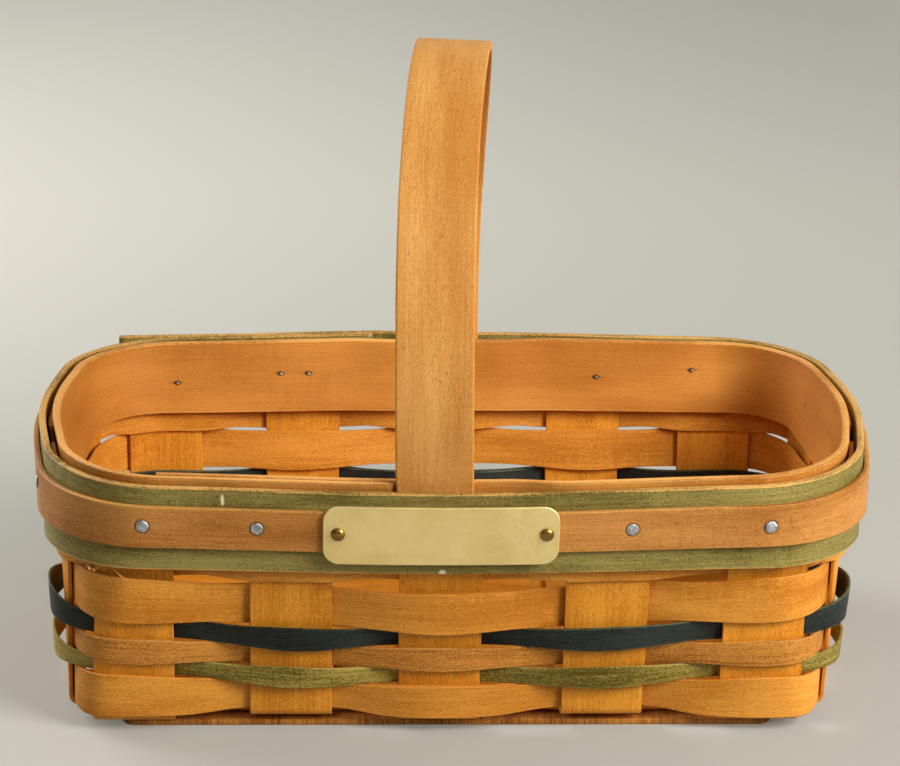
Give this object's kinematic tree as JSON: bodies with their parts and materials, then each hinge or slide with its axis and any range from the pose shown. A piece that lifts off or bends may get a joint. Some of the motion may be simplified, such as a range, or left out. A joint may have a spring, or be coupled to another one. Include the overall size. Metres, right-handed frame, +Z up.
{
  "type": "splint basket",
  "caption": "Oblong woven splint basket with flared walls, coloured weavers, nailed rim bands, a fixed bent handle and a small bare metal plate.",
  "frame": {"origin": "middle of the base board's underside, where the basket rests", "axes": "+X along the long side, to the right as seen from the front; +Y from the front to the back; +Z up"},
  "size_m": [0.2399, 0.1502, 0.1827],
  "materials": {
    "natural_maple": "honey-stained maple splint, satin, with fine short grain flecks and paler cut edges",
    "green_stain": "olive green stained splint, grain showing through, small worn chips",
    "navy_stain": "blue-black stained splint, satin",
    "tan_stain": "light red-brown stained splint, satin",
    "brass": "satin brass, bare",
    "steel": "dull steel nail"
  },
  "bodies": {
    "root": {"base_board": "natural_maple", "cross_stake_1": "natural_maple", "cross_stake_2": "natural_maple", "cross_stake_3": "natural_maple", "cross_stake_4": "natural_maple", "cross_stake_5": "natural_maple", "long_stake_1": "natural_maple", "long_stake_2": "natural_maple", "long_stake_3": "natural_maple", "weaver_1_natural": "natural_maple", "weaver_2_green": "green_stain", "weaver_3_tan": "tan_stain", "weaver_4_navy": "navy_stain", "weaver_5_natural": "natural_maple", "weaver_6_natural": "natural_maple", "outer_band": "green_stain", "inner_band": "natural_maple", "trim_strip": "tan_stain", "handle": "natural_maple", "plate": "brass", "plate_pin_left": "brass", "plate_pin_right": "brass", "rim_nail_front_0": "steel", "rim_nail_front_1": "steel", "rim_nail_front_2": "steel", "rim_nail_front_3": "steel", "rim_nail_right_4": "steel", "rim_nail_right_5": "steel", "rim_nail_back_6": "steel", "rim_nail_back_7": "steel", "rim_nail_back_8": "steel", "rim_nail_back_9": "steel", "rim_nail_back_10": "steel", "rim_nail_left_11": "steel", "rim_nail_left_12": "steel", "handle_nail_front": "steel", "handle_nail_back": "steel"}
  },
  "joints": []
}
